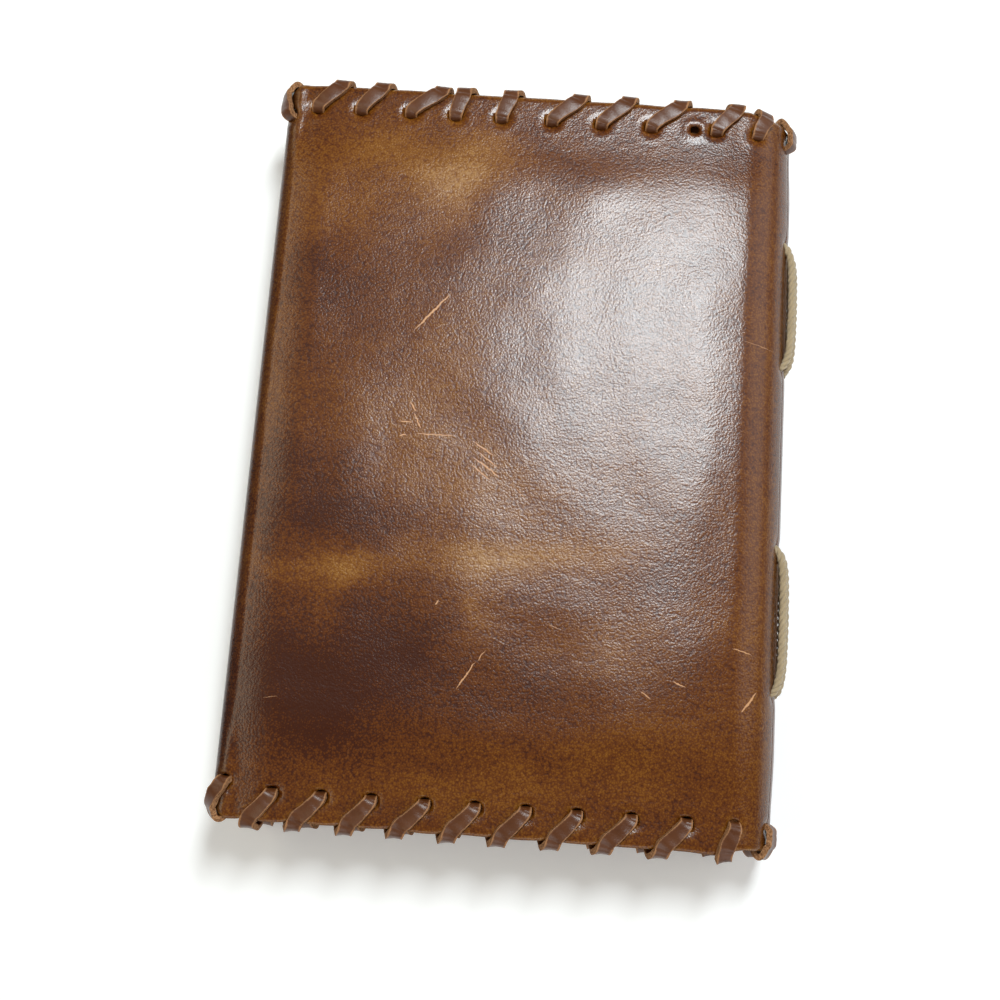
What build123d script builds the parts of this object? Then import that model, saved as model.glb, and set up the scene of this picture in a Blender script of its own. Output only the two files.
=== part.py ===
from build123d import *
import math
import os

# A hand-laced, long-stitched leather journal, lying closed on its front cover.
# +X points to the spine, +Y to the head, +Z up. The origin is the middle of the
# front cover's flat outer face, which the journal rests on.
# Every size is in millimetres.

# ---- cover ----
cover_width = 127.0
cover_height = 178.0
leather = 1.8
board_thickness = 1.6
roll_hollow = 2.4
roll_shoulder = 2.0
flap_rise = 2.2
flap_setback = 1.0

# ---- pinched head and tail margins ----
margin_width = 8.2
margin_slope = 4.8
margin_gap = 0.2

# ---- text block ----
signature_count = 4
sheets_per_signature = 5
sheet_thickness = 0.21
sheet_setback = 0.05
signature_gap = 0.1
text_fore_gap = 8.7
text_end_gap = 8.5
fold_clearance = 0.3

# ---- sewing cord ----
cord_diameter = 1.5
cord_clearance = 0.1
cord_bend = 1.5
cord_exit = 1.5
cord_bow = 2.6
cord_tail = 10.0
leather_hole_clearance = 0.25
paper_slot_length = 2.6
sewing_stations = (0.18, 0.36, 0.605, 0.80)

# ---- lacing ----
lace_width = 3.3
lace_thickness = 1.3
lace_hole_radius = 1.6
spine_hole_radius = 1.25
lace_hole_inset = 6.0
lace_squeeze = 0.15
lace_lift = 0.05
head_corner_inset = 8.0
roll_stitch_tilt = 62.0

# Hole distance from the middle of the roll, and how far the lace leans as it goes over the edge.
back_head_stitches = (
    (3.6, 5.8), (14.4, 5.0), (26.7, 7.6), (37.8, 1.8), (49.2, 2.1),
    (61.6, 6.9), (73.8, 6.8), (86.1, 7.4), (102.2, 5.2),
)
back_tail_stitches = (
    (9.5, 5.0), (20.5, 5.6), (31.8, 5.3), (43.7, 5.9), (54.9, 5.5),
    (66.2, 5.6), (77.6, 5.2), (89.7, 5.8), (101.9, 5.5),
)
front_head_stitches = (
    (4.2, 5.5), (15.6, 5.8), (27.0, 5.4), (38.5, 5.6), (49.9, 5.2),
    (61.4, 5.7), (72.8, 5.5), (84.3, 5.3), (95.7, 5.6),
)
front_tail_stitches = (
    (9.5, 5.0), (21.0, 5.4), (32.4, 5.7), (43.8, 5.3), (55.2, 5.5),
    (66.7, 5.8), (78.1, 5.4), (89.5, 5.6), (100.9, 5.2),
)
spare_hole = 96.9
spare_hole_radius = 1.2
shoulder_stitch = 2.8
shoulder_stitch_lean = 2.3
shoulder_seat_gap = 0.35
spine_seat_gap = 0.25
roll_seat_gap = 0.8

# ---- hinges ----
strip_gap = 0.2
hinge_standoff = 1.5

# ---- worked out from the sizes above ----
roll_radius = leather + roll_hollow
cord_radius = cord_diameter / 2
fold_inner = cord_radius + cord_clearance / 2
signature_half = fold_inner + sheets_per_signature * sheet_thickness
signature_pitch = 2 * signature_half + signature_gap
panel = 2 * leather + board_thickness
thickness = 2 * panel + signature_count * signature_pitch
margin_pinch = board_thickness - margin_gap
margin_stack = 2 * leather + margin_gap

spine_radius = thickness / 2
fore_x = -cover_width / 2
spine_x = cover_width / 2
spine_centre_x = spine_x - spine_radius
flap_end_x = spine_centre_x - flap_setback
text_fore_x = fore_x + text_fore_gap
text_height = cover_height - 2 * text_end_gap
margin_start = cover_height / 2 - margin_width
flat_half = margin_start - margin_slope
station_y = [cover_height * (0.5 - station) for station in sewing_stations]


def cut_height(number):
    """Height of the cut between spine strips, counted from the front cover."""
    return panel + number * signature_pitch


def signature_z(number):
    """Middle height of a signature, counted from 1 at the front cover."""
    return panel + (number - 0.5) * signature_pitch


def spine_surface_x(height):
    """Outer face of the spine at a height."""
    return spine_centre_x + math.sqrt(spine_radius ** 2 - (height - spine_radius) ** 2)


def fold_x(number):
    """Where the outer fold of a signature is centred, clear of the spine's inside."""
    reach = spine_radius - leather - fold_clearance - signature_half
    rise = signature_z(number) - spine_radius
    return spine_centre_x + math.sqrt(reach ** 2 - rise ** 2)


def shoulder_radius(drop):
    """Radius of the shoulder arc that meets the cut plane, for a lowered margin."""
    height = cut_height(signature_count) + strip_gap / 2
    run = spine_surface_x(height) - spine_centre_x
    rise = thickness - drop - height
    return (run ** 2 + rise ** 2) / (2 * rise)


def roll_and_flap(y):
    """Cross-section of the fore-edge roll and the flap turned in from it."""
    roll_x = fore_x + roll_radius
    roll_z = thickness - roll_radius
    roll_inner = roll_radius - leather
    rise_x = roll_x + flap_rise
    flap_low = thickness - panel
    with BuildLine(Plane.XZ.offset(-y)) as section:
        ThreePointArc((roll_x, thickness), (fore_x, roll_z), (roll_x, roll_z - roll_radius))
        Polyline(
            (roll_x, roll_z - roll_radius),
            (rise_x, flap_low),
            (flap_end_x, flap_low),
            (flap_end_x, flap_low + leather),
            (rise_x, flap_low + leather),
            (roll_x, roll_z - roll_inner),
        )
        ThreePointArc(
            (roll_x, roll_z - roll_inner),
            (roll_x - roll_inner, roll_z),
            (roll_x, roll_z + roll_inner),
        )
        Line((roll_x, roll_z + roll_inner), (roll_x, thickness))
    return Face(section.wire())


def outer_sheet(drop, y):
    """Cross-sections of the outer leather: beside the roll, across the face, round the shoulder."""
    top = thickness - drop
    roll_x = fore_x + roll_radius
    face_x = roll_x + roll_shoulder
    cut = cut_height(signature_count) + strip_gap / 2
    outer_radius = shoulder_radius(drop)
    inner_radius = outer_radius - leather
    centre_z = top - outer_radius
    outer_cut_x = spine_centre_x + math.sqrt(outer_radius ** 2 - (cut - centre_z) ** 2)
    inner_cut_x = spine_centre_x + math.sqrt(inner_radius ** 2 - (cut - centre_z) ** 2)
    with BuildLine(Plane.XZ.offset(-y)) as beside_roll:
        Polyline(
            (roll_x, thickness),
            (face_x, top),
            (face_x, top - leather),
            (roll_x, thickness - leather),
            close=True,
        )
    with BuildLine(Plane.XZ.offset(-y)) as across_face:
        Polyline(
            (face_x, top),
            (spine_centre_x, top),
            (spine_centre_x, top - leather),
            (face_x, top - leather),
            close=True,
        )
    with BuildLine(Plane.XZ.offset(-y)) as round_shoulder:
        RadiusArc((spine_centre_x, top), (outer_cut_x, cut), outer_radius)
        Line((outer_cut_x, cut), (inner_cut_x, cut))
        RadiusArc((inner_cut_x, cut), (spine_centre_x, top - leather), -inner_radius)
        Line((spine_centre_x, top - leather), (spine_centre_x, top))
    return [Face(line.wire()) for line in (beside_roll, across_face, round_shoulder)]


def head_plane(x, z, tilt, inset_y=0.0):
    """Plane on the head edge: x along the row, y out of the book, z out of the leather."""
    lean = math.radians(tilt)
    return Plane(
        origin=(x, cover_height / 2 - inset_y, z),
        x_dir=(math.cos(lean), 0, -math.sin(lean)),
        z_dir=(math.sin(lean), 0, math.cos(lean)),
    )


def tail_plane(x, z, tilt, inset_y=0.0):
    """The same on the tail edge, where the row runs the other way."""
    lean = math.radians(tilt)
    return Plane(
        origin=(x, inset_y - cover_height / 2, z),
        x_dir=(-math.cos(lean), 0, math.sin(lean)),
        z_dir=(math.sin(lean), 0, math.cos(lean)),
    )


margin_z = thickness - margin_pinch
head_row = head_plane(fore_x + roll_radius, margin_z, 0)
tail_row = tail_plane(fore_x + roll_radius, margin_z, 0)

margin_arc = shoulder_radius(margin_pinch)
shoulder_middle = shoulder_stitch + shoulder_stitch_lean / 2
shoulder_tilt = math.degrees(math.asin(shoulder_middle / margin_arc))
shoulder_origin = (
    spine_centre_x + shoulder_middle,
    margin_z - margin_arc + math.sqrt(margin_arc ** 2 - shoulder_middle ** 2),
    shoulder_tilt,
)
roll_lean = math.radians(roll_stitch_tilt)
roll_origin = (
    fore_x + roll_radius - (roll_radius + lace_lift) * math.sin(roll_lean),
    thickness - roll_radius + (roll_radius + lace_lift) * math.cos(roll_lean),
    -roll_stitch_tilt,
)


def spine_stitch_origin(number):
    """Place and lean of the lace on one spine strip."""
    lean = math.degrees(math.acos((signature_z(number) - spine_radius) / spine_radius))
    reach = spine_radius + lace_lift
    return (
        spine_centre_x + reach * math.sin(math.radians(lean)),
        spine_radius + reach * math.cos(math.radians(lean)),
        lean,
    )


def strap_outline(hole_x, over_x, inset):
    """Outline of a lace from its hole to just past the edge of the leather."""
    with BuildSketch(Plane.XY) as outline:
        run = Vector(over_x, lace_thickness / 2) - Vector(hole_x, -inset)
        end = Vector(hole_x, -inset) + run * ((run.length + lace_width) / run.length)
        with BuildLine():
            Line((hole_x, -inset), end)
        trace(line_width=lace_width)
        with Locations((hole_x, -inset)):
            Circle(lace_width / 2)
        clip = 4 * inset
        with Locations((hole_x, lace_thickness - clip / 2)):
            Rectangle(2 * clip, clip, mode=Mode.INTERSECT)
    return outline.sketch


def lace(edge_plane, stitches, inset, stack, hole_radius=lace_hole_radius):
    """One lace: down each hole, over the edge, and along the inside to the next hole."""
    with BuildPart() as row:
        for number, (hole_x, over_x) in enumerate(stitches):
            last = number == len(stitches) - 1
            back_x = hole_x if last else stitches[number + 1][0]
            with BuildSketch(edge_plane):
                add(strap_outline(hole_x, over_x, inset))
            extrude(amount=lace_thickness)
            with BuildSketch(edge_plane.offset(-stack)):
                add(strap_outline(back_x, over_x, inset))
            extrude(amount=-lace_thickness)
            with BuildSketch(edge_plane.offset(-stack - lace_thickness)):
                with Locations((over_x, lace_thickness / 2)):
                    Rectangle(lace_width, lace_thickness)
            extrude(amount=stack + 2 * lace_thickness)
            with BuildSketch(edge_plane.offset(-stack - lace_thickness)):
                with Locations((hole_x, -inset)):
                    Circle(hole_radius - lace_squeeze)
            extrude(amount=stack + 2 * lace_thickness)
    return row.part


def edge_row(stitches, sign):
    """Hole and crossing places of a row, measured along its edge plane, in lacing order."""
    return [(sign * hole, sign * hole + lean) for hole, lean in stitches[::sign]]


def cover_leather(head_stitches, tail_stitches, with_spare_hole):
    """The back cover's leather, with its lacing holes."""
    with BuildPart() as cover:
        along = (0, 1, 0)
        extrude(roll_and_flap(-cover_height / 2), amount=cover_height, dir=along)
        for face in outer_sheet(0, -flat_half):
            extrude(face, amount=2 * flat_half, dir=along)
        for end in (1, -1):
            flat_ends = outer_sheet(0, end * flat_half)
            margin_ends = outer_sheet(margin_pinch, end * margin_start)
            for flat_end, margin_end in zip(flat_ends, margin_ends):
                loft([flat_end, margin_end], ruled=True)
                extrude(margin_end, amount=margin_width, dir=(0, end, 0))
        for plane, stitches, sign in ((head_row, head_stitches, 1), (tail_row, tail_stitches, -1)):
            with BuildSketch(plane):
                with Locations([(sign * hole, -lace_hole_inset) for hole, lean in stitches]):
                    Circle(lace_hole_radius)
            extrude(amount=panel, both=True, mode=Mode.SUBTRACT)
        if with_spare_hole:
            with BuildSketch(head_row):
                with Locations((spare_hole, -lace_hole_inset)):
                    Circle(spare_hole_radius)
            extrude(amount=panel, both=True, mode=Mode.SUBTRACT)
        hole_x = -shoulder_stitch_lean / 2
        for plane in (head_plane(*shoulder_origin), tail_plane(*shoulder_origin)):
            side = math.copysign(1, plane.origin.Y)
            with BuildSketch(plane):
                with Locations((side * hole_x, -lace_hole_inset)):
                    Circle(lace_hole_radius)
            extrude(amount=panel / 2, both=True, mode=Mode.SUBTRACT)
        roll_holes = (
            (head_plane(*roll_origin), head_corner_inset),
            (tail_plane(*roll_origin), lace_hole_inset),
        )
        for plane, inset in roll_holes:
            with BuildSketch(plane.offset(lace_thickness)):
                with Locations((0, -inset)):
                    Circle(lace_hole_radius)
            extrude(amount=-(lace_thickness + roll_radius), mode=Mode.SUBTRACT)
    return cover.part


def shoulder_lace(end):
    """The stitch on the cover's shoulder, next to the spine."""
    plane = head_plane(*shoulder_origin) if end > 0 else tail_plane(*shoulder_origin)
    hole_x = -end * shoulder_stitch_lean / 2
    return lace(plane, [(hole_x, -hole_x)], lace_hole_inset, leather + shoulder_seat_gap)


def roll_lace(end):
    """The stitch through the rolled fore-edge, at the corner."""
    plane = head_plane(*roll_origin) if end > 0 else tail_plane(*roll_origin)
    inset = head_corner_inset if end > 0 else lace_hole_inset
    return lace(plane, [(0, 0)], inset, leather + roll_seat_gap)


def spine_lace(number, end):
    """The stitch on one spine strip."""
    origin = spine_stitch_origin(number)
    plane = head_plane(*origin) if end > 0 else tail_plane(*origin)
    stack = leather + spine_seat_gap
    return lace(plane, [(0, 0)], lace_hole_inset, stack, spine_hole_radius)


def board():
    """The stiffening card inside the back cover."""
    low_x = fore_x + roll_radius + board_thickness / 2
    high_x = flap_end_x - flap_setback
    with BuildPart() as card:
        with BuildSketch(Plane.XY.offset(thickness - leather - board_thickness)):
            with Locations(((low_x + high_x) / 2, 0)):
                Rectangle(high_x - low_x, 2 * flat_half)
        extrude(amount=board_thickness)
    return card.part


def spine_strip(number):
    """The spine leather behind one signature."""
    middle = signature_z(number)
    with BuildPart() as strip:
        with BuildSketch(Plane.XZ):
            with Locations((spine_centre_x, spine_radius)):
                Circle(spine_radius)
                Circle(spine_radius - leather, mode=Mode.SUBTRACT)
            with Locations((spine_centre_x + spine_radius / 2, middle)):
                Rectangle(spine_radius, signature_pitch - strip_gap, mode=Mode.INTERSECT)
        extrude(amount=cover_height / 2, both=True)
        with BuildSketch(Plane.YZ.offset(spine_centre_x)):
            with Locations([(station, middle) for station in station_y]):
                Circle(cord_radius + leather_hole_clearance)
        extrude(amount=2 * spine_radius, mode=Mode.SUBTRACT)
        if number in (1, signature_count):
            origin = spine_stitch_origin(number)
            for plane in (head_plane(*origin), tail_plane(*origin)):
                with BuildSketch(plane):
                    with Locations((0, -lace_hole_inset)):
                        Circle(spine_hole_radius)
                extrude(amount=2 * leather, both=True, mode=Mode.SUBTRACT)
    return strip.part


def folded_sheet(number, layer):
    """One folded sheet of a signature; layer 0 is the outermost."""
    middle = signature_z(number)
    outer = signature_half - layer * sheet_thickness
    inner = outer - sheet_thickness
    centre = fold_x(number) - layer * sheet_setback
    with BuildPart() as sheet:
        with BuildSketch(Plane.XZ):
            with BuildLine():
                Line((text_fore_x, middle + outer), (centre, middle + outer))
                ThreePointArc(
                    (centre, middle + outer),
                    (centre + outer, middle),
                    (centre, middle - outer),
                )
                Polyline(
                    (centre, middle - outer),
                    (text_fore_x, middle - outer),
                    (text_fore_x, middle - inner),
                    (centre, middle - inner),
                )
                ThreePointArc(
                    (centre, middle - inner),
                    (centre + inner, middle),
                    (centre, middle + inner),
                )
                Polyline(
                    (centre, middle + inner),
                    (text_fore_x, middle + inner),
                    (text_fore_x, middle + outer),
                )
            make_face()
        extrude(amount=text_height / 2, both=True)
        with BuildSketch(Plane.YZ.offset(centre)):
            with Locations([(station, middle) for station in station_y]):
                SlotOverall(paper_slot_length, cord_diameter + 2 * cord_clearance)
        extrude(amount=2 * signature_half, mode=Mode.SUBTRACT)
    return sheet.part


def sewing_cord(number):
    """The long-stitch cord of one signature: out and in at each pair of stations."""
    innermost = sheets_per_signature - 1
    inside_x = fold_x(number) - innermost * sheet_setback - cord_clearance / 2
    surface_x = spine_surface_x(signature_z(number))
    exit_x = surface_x + cord_exit
    bow_x = surface_x + cord_bow
    first, second, third, fourth = station_y
    route = [
        (inside_x, first + cord_tail),
        (inside_x, first),
        (exit_x, first),
        (bow_x, (first + second) / 2),
        (exit_x, second),
        (inside_x, second),
        (inside_x, third),
        (exit_x, third),
        (bow_x, (third + fourth) / 2),
        (exit_x, fourth),
        (inside_x, fourth),
        (inside_x, fourth - cord_tail),
    ]
    slack_bend = 60.0
    bends = [cord_bend, cord_bend, slack_bend, cord_bend, cord_bend]
    with BuildPart() as cord:
        with BuildLine(Plane.XY.offset(signature_z(number))) as path:
            FilletPolyline(*route, radius=bends + bends)
        with BuildSketch(Plane(origin=path.line @ 0, z_dir=path.line % 0)):
            Circle(cord_radius)
        sweep(path=path.line)
    drawn = path.wires()[0].length * math.pi * cord_radius ** 2
    print("cord", number, "bends", bends, "volume ratio", round(cord.part.volume / drawn, 4))
    return cord.part


middle_plane = Plane.XY.offset(thickness / 2)


def save(solid, name):
    """Label a finished piece and write it out."""
    solid.label = name
    export_step(solid, "parts/" + name + ".step")


os.makedirs("parts", exist_ok=True)

# ---- back cover, lying on top ----
with BuildPart() as back_cover_leather:
    add(cover_leather(back_head_stitches, back_tail_stitches, True))
save(back_cover_leather.part, "back_cover_leather")

with BuildPart() as back_board:
    add(board())
save(back_board.part, "back_board")

back_laces = {
    "head_lace_back": lace(head_row, edge_row(back_head_stitches, 1), lace_hole_inset, margin_stack),
    "tail_lace_back": lace(tail_row, edge_row(back_tail_stitches, -1), lace_hole_inset, margin_stack),
    "head_shoulder_lace_back": shoulder_lace(1),
    "tail_shoulder_lace_back": shoulder_lace(-1),
    "head_corner_lace_back": roll_lace(1),
    "tail_corner_lace_back": roll_lace(-1),
}
for name, solid in back_laces.items():
    save(solid, name)

# ---- front cover, underneath: the same build turned over ----
with BuildPart() as front_cover_leather:
    add(cover_leather(front_head_stitches, front_tail_stitches, False))
    mirror(about=middle_plane, mode=Mode.REPLACE)
save(front_cover_leather.part, "front_cover_leather")

with BuildPart() as front_board:
    add(board())
    mirror(about=middle_plane, mode=Mode.REPLACE)
save(front_board.part, "front_board")

front_laces = {
    "head_lace_front": lace(head_row, edge_row(front_head_stitches, 1), lace_hole_inset, margin_stack),
    "tail_lace_front": lace(tail_row, edge_row(front_tail_stitches, -1), lace_hole_inset, margin_stack),
    "head_shoulder_lace_front": shoulder_lace(1),
    "tail_shoulder_lace_front": shoulder_lace(-1),
    "head_corner_lace_front": roll_lace(1),
    "tail_corner_lace_front": roll_lace(-1),
}
for name, solid in front_laces.items():
    with BuildPart() as turned:
        add(solid)
        mirror(about=middle_plane, mode=Mode.REPLACE)
    save(turned.part, name)

# ---- spine, sewing and pages ----
for number in range(1, signature_count + 1):
    save(spine_strip(number), f"spine_leather_{number}")
    save(sewing_cord(number), f"sewing_cord_{number}")
    for layer in range(sheets_per_signature):
        save(folded_sheet(number, layer), f"sheet_{number}_{layer + 1}")

save(spine_lace(signature_count, 1), "head_spine_lace_back")
save(spine_lace(signature_count, -1), "tail_spine_lace_back")
save(spine_lace(1, 1), "head_spine_lace_front")
save(spine_lace(1, -1), "tail_spine_lace_front")

for number in range(signature_count + 1):
    lean = math.asin((cut_height(number) - spine_radius) / spine_radius)
    hinge_x = spine_centre_x + (spine_radius + hinge_standoff) * math.cos(lean)
    hinge_z = spine_radius + (spine_radius + hinge_standoff) * math.sin(lean)
    print("hinge", number, round(hinge_x, 4), round(hinge_z, 4))
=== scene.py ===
import math
import bmesh
import bpy
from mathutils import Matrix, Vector, noise


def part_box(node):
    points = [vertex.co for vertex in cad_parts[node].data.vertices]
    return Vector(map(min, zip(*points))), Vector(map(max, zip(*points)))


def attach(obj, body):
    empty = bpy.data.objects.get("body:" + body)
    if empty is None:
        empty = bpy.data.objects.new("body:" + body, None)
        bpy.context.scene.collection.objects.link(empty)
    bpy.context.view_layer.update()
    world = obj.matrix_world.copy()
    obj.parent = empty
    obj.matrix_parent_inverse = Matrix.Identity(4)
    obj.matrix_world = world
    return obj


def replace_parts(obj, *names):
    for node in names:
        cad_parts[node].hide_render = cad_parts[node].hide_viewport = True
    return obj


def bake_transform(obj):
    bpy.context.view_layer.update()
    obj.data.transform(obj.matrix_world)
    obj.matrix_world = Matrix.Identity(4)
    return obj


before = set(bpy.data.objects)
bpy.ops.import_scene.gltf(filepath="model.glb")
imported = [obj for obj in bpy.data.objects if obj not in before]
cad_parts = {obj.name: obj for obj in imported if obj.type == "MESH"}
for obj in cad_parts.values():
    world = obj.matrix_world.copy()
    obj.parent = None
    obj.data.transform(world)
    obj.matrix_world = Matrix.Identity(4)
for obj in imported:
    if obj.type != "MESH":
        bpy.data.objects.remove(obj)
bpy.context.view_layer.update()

# A hand-laced leather journal, lying closed on its front cover.
# Everything is worked out in millimetres and turned into metres as a piece is made.

MM = 0.001

# ---- sizes read from the frame ----
cover_low, cover_high = [Vector(corner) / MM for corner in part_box("back_cover_leather")]
thickness = cover_high.z
half_height = cover_high.y
fore_x = cover_low.x
spine_x = -fore_x
spine_radius = thickness / 2
spine_centre_x = spine_x - spine_radius
board_low, board_high = [Vector(corner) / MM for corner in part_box("back_board")]
leather = thickness - board_high.z
panel = thickness - board_low.z + leather
roll_radius = (thickness - cover_low.z) / 2
section_count = 4
pitch = (thickness - 2 * panel) / section_count

# ---- sizes of the looks ----
flap_setback = 1.0
margin_width = 8.2
margin_slope = 4.8
flap_end_x = spine_centre_x - flap_setback
margin_start = half_height - margin_width
flat_half = margin_start - margin_slope
margin_pinch = 0.7
spine_pinch = 0.5
hole_radius = 1.6
hole_inset = 6.0
lace_width = 3.3
lace_thickness = 1.3
cord_diameter = 1.5
fold_curve = 1.2
skin_step = 0.75
margin_step = 0.5
centre_step = 1.3
flap_step = 2.2
spine_step = 0.55
grain_depth = 0.033
plain_light = 0.36
# Strength of the painted shade along the fore-edge roll, and of the painted shade toward the spine.
roll_shade = 0.62
spine_shade = 0.34

STATIONS = (0.18, 0.36, 0.605, 0.80)
BACK_HEAD = (
    (7.8, 5.8), (18.6, 5.0), (30.9, 7.6), (42.0, 1.8), (53.4, 2.1),
    (65.8, 6.9), (78.0, 6.8), (90.3, 7.4), (106.4, 5.2),
)
BACK_TAIL = (
    (13.7, 5.0), (24.7, 5.6), (36.0, 5.3), (47.9, 5.9), (59.1, 5.5),
    (70.4, 5.6), (81.8, 5.2), (93.9, 5.8), (106.1, 5.5),
)
FRONT_HEAD = (
    (8.4, 5.5), (19.8, 5.8), (31.2, 5.4), (42.7, 5.6), (54.1, 5.2),
    (65.6, 5.7), (77.0, 5.5), (88.5, 5.3), (99.9, 5.6),
)
FRONT_TAIL = (
    (13.7, 5.0), (25.2, 5.4), (36.6, 5.7), (48.0, 5.3), (59.4, 5.5),
    (70.9, 5.8), (82.3, 5.4), (93.7, 5.6), (105.1, 5.2),
)
SPARE_HOLE = 101.1


# ======================================================================
# Shape of the cover: one sheet of leather, measured across and along
# ======================================================================

class Route:
    """The sheet's outer face in cross-section: arcs and straights joined end to end."""

    def __init__(self):
        self.parts = []
        self.length = 0.0

    def arc(self, centre, radius, start, sweep):
        """An arc; the leather faces away from the centre where the radius is positive."""
        self.parts.append(("arc", self.length, centre, radius, start, sweep))
        self.length += abs(radius * sweep)

    def line(self, start, end):
        """A straight run; the leather faces left of its direction."""
        self.parts.append(("line", self.length, Vector(start), Vector(end)))
        self.length += (Vector(end) - Vector(start)).length

    def at(self, distance):
        """Point and outward direction at a distance along the route."""
        part = self.parts[0]
        for candidate in self.parts:
            if distance >= candidate[1]:
                part = candidate
        along = distance - part[1]
        if part[0] == "line":
            direction = (part[3] - part[2]).normalized()
            return part[2] + direction * along, Vector((direction.y, -direction.x))
        centre, radius, start, sweep = part[2:]
        angle = start + math.copysign(along / abs(radius), sweep)
        outward = Vector((math.cos(angle), math.sin(angle)))
        return Vector(centre) + outward * abs(radius), outward * math.copysign(1, radius)


def smooth(value):
    """Smooth step from 0 to 1."""
    value = min(1.0, max(0.0, value))
    return value * value * (3 - 2 * value)


def bump(distance, width):
    """A bell curve."""
    return math.exp(-(distance / width) ** 2)


half_route = Route()
roll_x = fore_x + roll_radius
roll_z = thickness - roll_radius
fold_low = thickness - panel - fold_curve
fold_run = math.sqrt((roll_radius + fold_curve) ** 2 - (roll_z - fold_low) ** 2)
fold_angle = math.atan2(fold_run, roll_z - fold_low)
half_route.arc((spine_centre_x, spine_radius), spine_radius, 0, math.pi / 2)
face_start = half_route.length
half_route.line((spine_centre_x, thickness), (roll_x, thickness))
roll_start = half_route.length
half_route.arc((roll_x, roll_z), roll_radius, math.pi / 2, math.pi + fold_angle)
fold_start = half_route.length
half_route.arc((roll_x + fold_run, fold_low), -fold_curve, math.pi / 2 + fold_angle, -fold_angle)
flap_start = half_route.length
half_route.line((roll_x + fold_run, thickness - panel), (flap_end_x, thickness - panel))
flap_end = half_route.length


def across(x):
    """Distance across the sheet, from the middle of the spine, of a place on the back face."""
    if x <= spine_centre_x:
        return face_start + spine_centre_x - x
    return face_start - spine_radius * math.asin((x - spine_centre_x) / spine_radius)


def strip_middle(number):
    """Distance across of the middle of a spine strip, counted from the front cover."""
    return spine_radius * math.asin((number - (section_count + 1) / 2) * pitch / spine_radius)


class Hole:
    """A lacing hole, where the thong goes over the edge, and where it comes back."""

    def __init__(self, place, end, inset=hole_inset, lean=0.0, radius=hole_radius,
                 stack=None, loose=0.0):
        self.place = place
        self.end = end
        self.inset = inset
        self.over = place + lean
        self.radius = radius
        self.stack = stack if stack is not None else panel - margin_pinch
        self.loose = loose
        self.y = end * (half_height - inset)


def row(stitches, end, side):
    """The holes of one edge of a cover, in lacing order."""
    holes = []
    for distance, lean in stitches[::end]:
        place = across(fore_x + distance)
        holes.append(Hole(side * place, end, lean=-side * end * lean))
    return holes


rows = {
    "head_lace_back": row(BACK_HEAD, 1, 1),
    "tail_lace_back": row(BACK_TAIL, -1, 1),
    "head_lace_front": row(FRONT_HEAD, 1, -1),
    "tail_lace_front": row(FRONT_TAIL, -1, -1),
}
singles = {}
for side, side_name in ((1, "back"), (-1, "front")):
    for end, end_name in ((1, "head"), (-1, "tail")):
        shoulder = side * across(spine_centre_x + 2.8)
        lean = -side * 2.3 * end
        corner_tilt, corner_lean, corner_loose = (50, 1.6, 0.35) if end > 0 else (24, 3.2, 0.2)
        corner = side * (roll_start + roll_radius * math.radians(corner_tilt))
        strip = strip_middle(4 if side > 0 else 1)
        singles[f"{end_name}_shoulder_lace_{side_name}"] = Hole(shoulder, end, lean=lean, stack=leather)
        singles[f"{end_name}_corner_lace_{side_name}"] = Hole(
            corner, end, inset=8.0, lean=side * corner_lean, stack=leather, loose=corner_loose
        )
        singles[f"{end_name}_spine_lace_{side_name}"] = Hole(
            strip, end, radius=1.3, stack=leather, loose=0.6 if end > 0 else 0.4
        )

spare = Hole(across(fore_x + SPARE_HOLE), 1, radius=1.15)
lacing_holes = [hole for holes in rows.values() for hole in holes] + list(singles.values())
all_holes = lacing_holes + [spare]

station_y = [2 * half_height * (0.5 - station) for station in STATIONS]
cord_holes = [(strip_middle(number), y) for number in (1, 2, 3, 4) for y in station_y]


def sink(place, y):
    """How far the leather lies below its plain round shape, in millimetres."""
    reach = abs(place)
    edge = half_height - abs(y)
    if reach < face_start:
        pinch = spine_pinch + (margin_pinch - spine_pinch) * smooth(reach / face_start * 1.6 - 0.6)
    else:
        pinch = margin_pinch * (1 - smooth((reach - roll_start + 2) / 4))
    depth = pinch * smooth((abs(y) - flat_half + 10) / 19)
    depth += 0.5 * smooth((face_start + 10 - reach) / 14) * smooth((reach - 3) / (face_start - 5))
    turned = min(1.0, max(0.0, (reach - roll_start + 9) / 9))
    depth += 0.75 * turned ** 2 * (1 - smooth((reach - roll_start) / 5))
    if reach > fold_start:
        return 0.0
    for hole in all_holes:
        if abs(hole.place - place) > 9 or hole.end * y < 0:
            continue
        away = math.hypot(place - hole.place, y - hole.y)
        depth += 0.34 * bump(away, hole.radius + 0.9)
        depth -= 0.10 * bump(away - hole.radius - 1.6, 1.0)
        if hole is spare:
            depth -= 0.30 * bump(away - hole.radius - 0.6, 0.9)
            continue
        run = min(1.0, max(0.0, 1 - edge / hole.inset))
        strap = hole.place + (hole.over - hole.place) * run
        if edge < hole.inset:
            depth += 0.16 * bump(place - strap, 1.9)
    for hole_place, hole_y in cord_holes:
        away = math.hypot(place - hole_place, y - hole_y)
        if away < 6:
            depth += 0.5 * bump(away, 1.6)
    depth += 0.35 * bump(edge, 0.55)
    if reach > strip_middle(4):
        spot = Vector((place / 34, y / 34, 0.3))
        swell = 0.42 * noise.noise(spot) + 0.16 * noise.noise(spot * 2.7)
        inner = smooth((reach - strip_middle(4)) / 16) * smooth((flat_half - abs(y)) / 14)
        if place > 0:
            depth -= (0.5 + swell) * inner * (1 - smooth((reach - roll_start) / 3))
    return depth


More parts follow.
